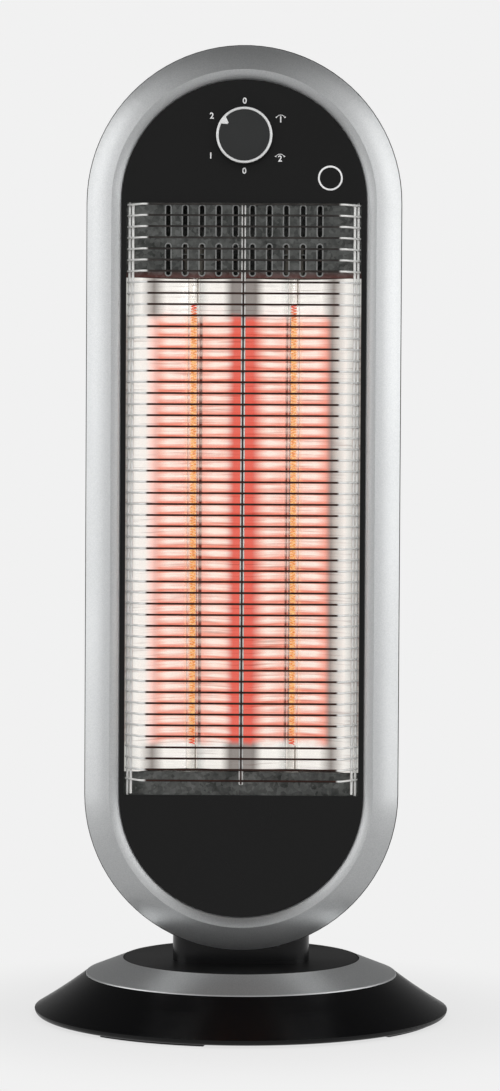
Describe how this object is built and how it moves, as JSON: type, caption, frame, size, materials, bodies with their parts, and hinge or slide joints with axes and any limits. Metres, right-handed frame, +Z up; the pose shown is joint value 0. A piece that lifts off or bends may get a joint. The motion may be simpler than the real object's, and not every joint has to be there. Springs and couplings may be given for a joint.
{
  "type": "carbon heater",
  "caption": "Upright stadium-shaped radiant heater with wire guard, tubes, rotary control and a head that swings on a round base.",
  "frame": {"origin": "on the floor under the middle of the round base", "axes": "+Z up, the heating window faces -Y, +X to the right of someone who looks at the front"},
  "size_m": [0.28, 0.28, 0.6525],
  "materials": {
    "gloss_black": "gloss",
    "fascia_black": "high gloss",
    "cover_dark": "satin",
    "silver_plastic": "metallic silver, satin",
    "bright_trim": "bright silver",
    "plate_steel": "plain",
    "galvanised": "galvanised",
    "polished_aluminium": "polished",
    "guard_chrome": "bright",
    "black_rubber": "matte",
    "ballast_iron": "matte",
    "white_plastic": "satin",
    "switch_brown": "satin",
    "lead_sheath": "matte",
    "lead_wire": "plain",
    "quartz": "clear",
    "glowing_carbon": "glowing",
    "ceramic": "unglazed",
    "zinc_screw": "plain"
  },
  "bodies": {
    "base": {"base_shell": "gloss_black", "base_ring": "silver_plastic", "base_plate": "plate_steel", "base_feet": "black_rubber", "plate_screws": "zinc_screw", "ballast_weight": "ballast_iron", "glide_ring": "white_plastic", "cord_grommet": "black_rubber", "cord_clamp": "white_plastic", "clamp_screws": "zinc_screw", "terminal_block": "white_plastic", "base_leads": "lead_sheath", "swing_motor": "plate_steel", "motor_screws": "zinc_screw", "tip_switch": "gloss_black", "tip_spring": "plate_steel"},
    "pinion": {"drive_pinion": "white_plastic", "motor_shaft": "plate_steel"},
    "plunger": {"tip_plunger": "white_plastic"},
    "head": {"turntable": "gloss_black", "sector_gear": "white_plastic", "sector_screws": "zinc_screw", "neck": "gloss_black", "neck_screws": "zinc_screw", "tie_screws": "zinc_screw", "rear_cover": "cover_dark", "cover_screws": "zinc_screw", "front_bezel": "silver_plastic", "front_fascia": "fascia_black", "guard_grille": "guard_chrome", "guard_side_left": "guard_chrome", "guard_side_right": "guard_chrome", "vent_plate": "galvanised", "lower_plate": "galvanised", "reflector": "polished_aluminium", "heat_shield": "galvanised", "reflector_screws": "zinc_screw", "quartz_tube_left": "quartz", "quartz_tube_right": "quartz", "carbon_filament_left": "glowing_carbon", "carbon_filament_right": "glowing_carbon", "filament_leads": "lead_wire", "ceramic_caps": "ceramic", "cap_brackets": "galvanised", "bracket_screws": "zinc_screw", "thermal_cutout": "switch_brown", "rotary_switch": "switch_brown", "switch_nut": "plate_steel", "head_leads": "lead_sheath"},
    "control": {"knob": "gloss_black", "knob_ring": "bright_trim", "switch_shaft": "plate_steel"}
  },
  "joints": [
    {"name": "swing", "type": "hinge", "parent": "base", "child": "head", "pos_m": [0, 0, 0.03], "axis": [0, 0, 1], "range_deg": [-35, 35]},
    {"name": "pinion_spin", "type": "hinge", "parent": "base", "child": "pinion", "pos_m": [0, 0.048, 0.0226], "axis": [0, 0, 1], "range_deg": [-110, 110]},
    {"name": "tip_slide", "type": "slide", "parent": "base", "child": "plunger", "axis": [0, 0, 1], "range_m": [-0.005, 0], "stiffness_N_per_m": 60, "springref_m": -0.006, "deforming": ["tip_spring"]},
    {"name": "control_turn", "type": "hinge", "parent": "head", "child": "control", "pos_m": [0, -0.05, 0.5916], "axis": [0, -1, 0], "continuous": true}
  ],
  "couplings": [
    {"joint": "pinion_spin", "follows": "swing", "ratio": -3}
  ]
}
